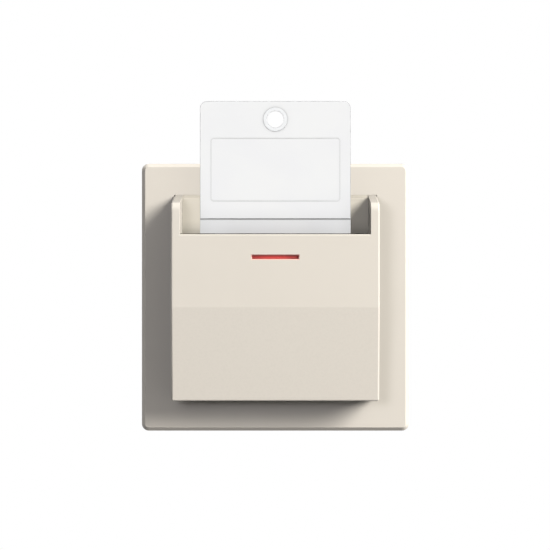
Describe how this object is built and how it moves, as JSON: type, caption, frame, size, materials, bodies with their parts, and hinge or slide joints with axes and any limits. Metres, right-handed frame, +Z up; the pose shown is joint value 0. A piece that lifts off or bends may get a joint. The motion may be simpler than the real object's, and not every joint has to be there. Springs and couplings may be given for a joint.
{
  "type": "hotel key card switch",
  "caption": "Flush wall switch worked by a key card: a square frame, a deep card pocket with a red indicator slit, the card in it, and a mechanism with claws and screwless terminals behind.",
  "frame": {"origin": "middle of the 60 mm box screw pattern, in the wall plane, which is the back face of the yoke", "axes": "+Z up, +Y into the wall, +X to the right as seen from the room; the front faces -Y"},
  "size_m": [0.081, 0.0551, 0.0989],
  "materials": {
    "frame_plastic": "satin, fine moulded",
    "holder_plastic": "satin, fine moulded",
    "strip_dark": "dense felt, grey-brown",
    "lens_red": "translucent red",
    "clear_plastic": "clear polycarbonate",
    "card_white": "semi-matt white",
    "eyelet_white": "gloss white",
    "carriage_grey": "acetal, natural",
    "spring_steel": "drawn wire",
    "leaf_bronze": "phosphor bronze strip",
    "zinc_steel": "zinc plated",
    "base_plastic": "white thermoplastic",
    "lid_plastic": "grey thermoplastic",
    "brass_strip": "stamped brass",
    "silver_tip": "silver alloy",
    "button_orange": "satin",
    "board_green": "solder mask",
    "led_clear": "clear resin",
    "resistor_black": "chip",
    "tinned_wire": "tinned"
  },
  "bodies": {
    "root": {"outer_frame": "frame_plastic", "card_holder_cover": "holder_plastic", "pocket_back_plate": "holder_plastic", "indicator_lens": "lens_red", "slot_edge_strip": "strip_dark", "light_pipe": "clear_plastic", "card_leaf_springs": "leaf_bronze", "leaf_spring_rivets": "zinc_steel", "carriage_return_springs": "spring_steel", "mounting_yoke": "zinc_steel", "mechanism_base": "base_plastic", "mechanism_cover": "lid_plastic", "cover_screws": "zinc_steel", "blade_rivet": "brass_strip", "common_terminal": "brass_strip", "neutral_terminal": "brass_strip", "contact_strip_open": "brass_strip", "contact_strip_closed": "brass_strip", "fixed_contact_tips": "silver_tip", "clamp_springs": "spring_steel", "lamp_board": "board_green", "lamp_led": "led_clear", "lamp_resistor": "resistor_black", "lamp_leads": "tinned_wire", "claw_pins": "spring_steel"},
    "carriage": {"card_carriage": "carriage_grey"},
    "card": {"key_card": "card_white", "card_eyelet": "eyelet_white"},
    "plunger": {"plunger": "carriage_grey"},
    "blade": {"contact_blade": "leaf_bronze", "moving_contact_tip": "silver_tip"},
    "release_left": {"release_button_left": "button_orange"},
    "release_right": {"release_button_right": "button_orange"},
    "claw_left": {"claw_left": "zinc_steel"},
    "claw_right": {"claw_right": "zinc_steel"},
    "claw_screw_left": {"claw_screw_left": "zinc_steel"},
    "claw_screw_right": {"claw_screw_right": "zinc_steel"}
  },
  "joints": [
    {"name": "carriage_slide", "type": "slide", "parent": "root", "child": "carriage", "axis": [0, 0, 1], "range_m": [0, 0.005], "stiffness_N_per_m": 60, "springref_m": 0.008, "deforming": ["carriage_return_springs"]},
    {"name": "card_slide", "type": "slide", "parent": "carriage", "child": "card", "axis": [0, 0, 1], "range_m": [0, 0.05]},
    {"name": "plunger_slide", "type": "slide", "parent": "root", "child": "plunger", "axis": [0, -1, 0], "range_m": [0, 0.0016]},
    {"name": "blade_flex", "type": "hinge", "parent": "root", "child": "blade", "pos_m": [0, 0.0076, 0.014], "axis": [-1, 0, 0], "range_deg": [0, 3.22]},
    {"name": "release_left_press", "type": "slide", "parent": "root", "child": "release_left", "axis": [0, -1, 0], "range_m": [0, 0.0012], "stiffness_N_per_m": 800, "springref_m": -0.001},
    {"name": "release_right_press", "type": "slide", "parent": "root", "child": "release_right", "axis": [0, -1, 0], "range_m": [0, 0.0012], "stiffness_N_per_m": 800, "springref_m": -0.001},
    {"name": "claw_screw_left_turn", "type": "hinge", "parent": "root", "child": "claw_screw_left", "pos_m": [-0.0268, 0, -0.011], "axis": [0, 1, 0], "range_deg": [0, 720]},
    {"name": "claw_left_swing", "type": "hinge", "parent": "root", "child": "claw_left", "pos_m": [-0.0242, 0.0052, -0.011], "axis": [0, 0, 1], "range_deg": [0, 20]},
    {"name": "claw_screw_right_turn", "type": "hinge", "parent": "root", "child": "claw_screw_right", "pos_m": [0.0268, 0, -0.011], "axis": [0, 1, 0], "range_deg": [0, 720]},
    {"name": "claw_right_swing", "type": "hinge", "parent": "root", "child": "claw_right", "pos_m": [0.0242, 0.0052, -0.011], "axis": [0, 0, -1], "range_deg": [0, 20]}
  ],
  "couplings": [
    {"joint": "plunger_slide", "follows": "carriage_slide", "ratio": 0.32},
    {"joint": "blade_flex", "follows": "carriage_slide", "rad_per_m": 11.228},
    {"joint": "claw_left_swing", "follows": "claw_screw_left_turn", "ratio": 0.02777},
    {"joint": "claw_right_swing", "follows": "claw_screw_right_turn", "ratio": 0.02777}
  ]
}
